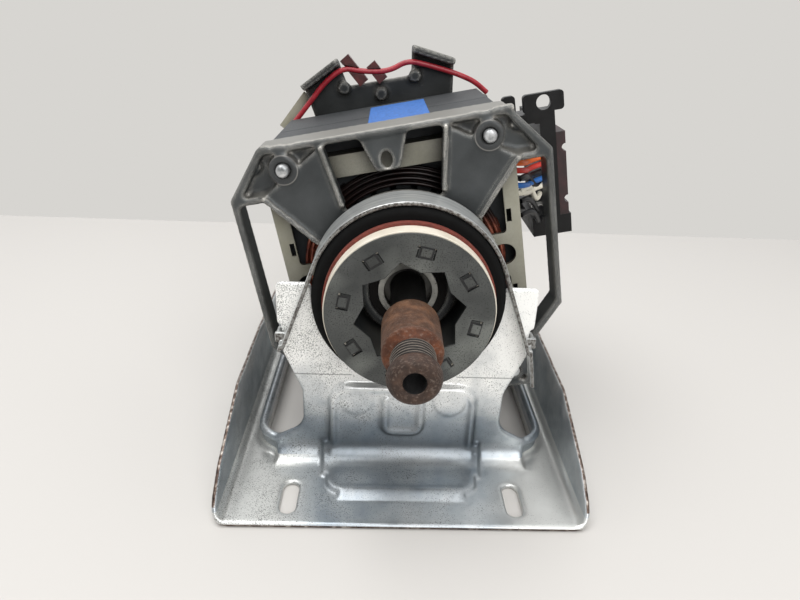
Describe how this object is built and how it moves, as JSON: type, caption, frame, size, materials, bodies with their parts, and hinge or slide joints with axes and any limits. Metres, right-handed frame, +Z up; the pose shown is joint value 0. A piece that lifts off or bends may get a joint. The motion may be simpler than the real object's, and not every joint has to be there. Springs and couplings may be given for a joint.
{
  "type": "electric motor",
  "caption": "Open-frame induction motor for a laundry machine, cradled by rubber rings on a stamped sheet bracket, with side switch and leads.",
  "frame": {"origin": "on the underside of the base, below the shaft, midway between the front pair of mounting slots", "axes": "+Z up, the shaft along Y with its threaded nose towards -Y, +X to the switch side"},
  "size_m": [0.1371, 0.2155, 0.154],
  "materials": {
    "zinc_plated_sheet": "zinc-plated, spangled",
    "bright_zinc": "bright zinc plate",
    "black_rubber": "matt",
    "cream_plastic": "satin",
    "red_fibre": "matt",
    "bearing_steel": "machined",
    "felt": "oiled felt",
    "copper_wire": "enamelled",
    "cast_aluminium": "die-cast",
    "lamination_steel": "laminated",
    "blue_tape": "matt",
    "rusty_steel": "browned by rust",
    "black_plastic": "satin",
    "maroon_board": "satin",
    "tinned_blades": "tinned",
    "yellow_insulation": "satin",
    "orange_insulation": "satin",
    "red_insulation": "satin",
    "black_insulation": "satin",
    "blue_insulation": "satin",
    "white_insulation": "satin",
    "dark_red_plastic": "satin"
  },
  "bodies": {
    "frame": {"base_bracket": "zinc_plated_sheet", "front_mount_ring": "black_rubber", "rear_mount_ring": "black_rubber", "front_mount_clamp": "bright_zinc", "rear_mount_clamp": "bright_zinc", "front_retainer_disc": "bright_zinc", "rear_retainer_disc": "bright_zinc", "front_spacer_ring": "cream_plastic", "rear_spacer_ring": "cream_plastic", "front_fibre_ring": "red_fibre", "rear_fibre_ring": "red_fibre", "front_bearing": "bearing_steel", "rear_bearing": "bearing_steel", "front_felt_ring": "felt", "rear_felt_ring": "felt", "front_slinger_ring": "bearing_steel", "rear_slinger_ring": "bearing_steel", "front_winding_frame": "cream_plastic", "rear_winding_frame": "cream_plastic", "front_end_winding": "copper_wire", "rear_end_winding": "copper_wire", "front_end_shield": "cast_aluminium", "rear_end_shield": "cast_aluminium", "stator_core": "lamination_steel", "coil_sides": "copper_wire", "stack_tape": "blue_tape", "through_bolts": "bright_zinc", "bolt_nuts": "bright_zinc", "switch_housing": "black_plastic", "terminal_board": "maroon_board", "spare_blades": "tinned_blades", "lead_yellow": "yellow_insulation", "lead_orange": "orange_insulation", "lead_red": "red_insulation", "lead_black": "black_insulation", "lead_blue": "blue_insulation", "lead_white": "white_insulation", "top_lead": "red_insulation", "left_clip": "dark_red_plastic", "right_clip": "dark_red_plastic", "cable_strip": "cream_plastic"},
    "rotor": {"shaft": "rusty_steel", "rotor_core": "lamination_steel", "front_rotor_fan": "cast_aluminium", "rear_rotor_fan": "cast_aluminium", "governor_carrier": "bearing_steel"},
    "sleeve": {"governor_sleeve": "black_plastic"},
    "right_bob": {"right_weight": "bearing_steel"},
    "left_bob": {"left_weight": "bearing_steel"},
    "lever": {"switch_lever": "black_plastic"}
  },
  "joints": [
    {"name": "rotor_spin", "type": "hinge", "parent": "frame", "child": "rotor", "pos_m": [0, 0.0826, 0.075], "axis": [0, 1, 0], "continuous": true},
    {"name": "sleeve_slide", "type": "slide", "parent": "rotor", "child": "sleeve", "axis": [0, -1, 0], "range_m": [0, 0.002]},
    {"name": "right_weight_swing", "type": "hinge", "parent": "rotor", "child": "right_bob", "pos_m": [0.01372, 0.1143, 0.07779], "axis": [-0.1994, 0, 0.9799], "range_deg": [0, 25]},
    {"name": "left_weight_swing", "type": "hinge", "parent": "rotor", "child": "left_bob", "pos_m": [-0.01372, 0.1143, 0.07221], "axis": [0.1994, 0, -0.9799], "range_deg": [0, 25]},
    {"name": "lever_swing", "type": "hinge", "parent": "frame", "child": "lever", "pos_m": [0.05096, 0.122, 0.08537], "axis": [-0.1994, 0, 0.9799], "range_deg": [0, 2.87]}
  ],
  "couplings": [
    {"joint": "right_weight_swing", "follows": "sleeve_slide", "rad_per_m": 218.2},
    {"joint": "left_weight_swing", "follows": "sleeve_slide", "rad_per_m": 218.2},
    {"joint": "lever_swing", "follows": "sleeve_slide", "rad_per_m": 25}
  ]
}
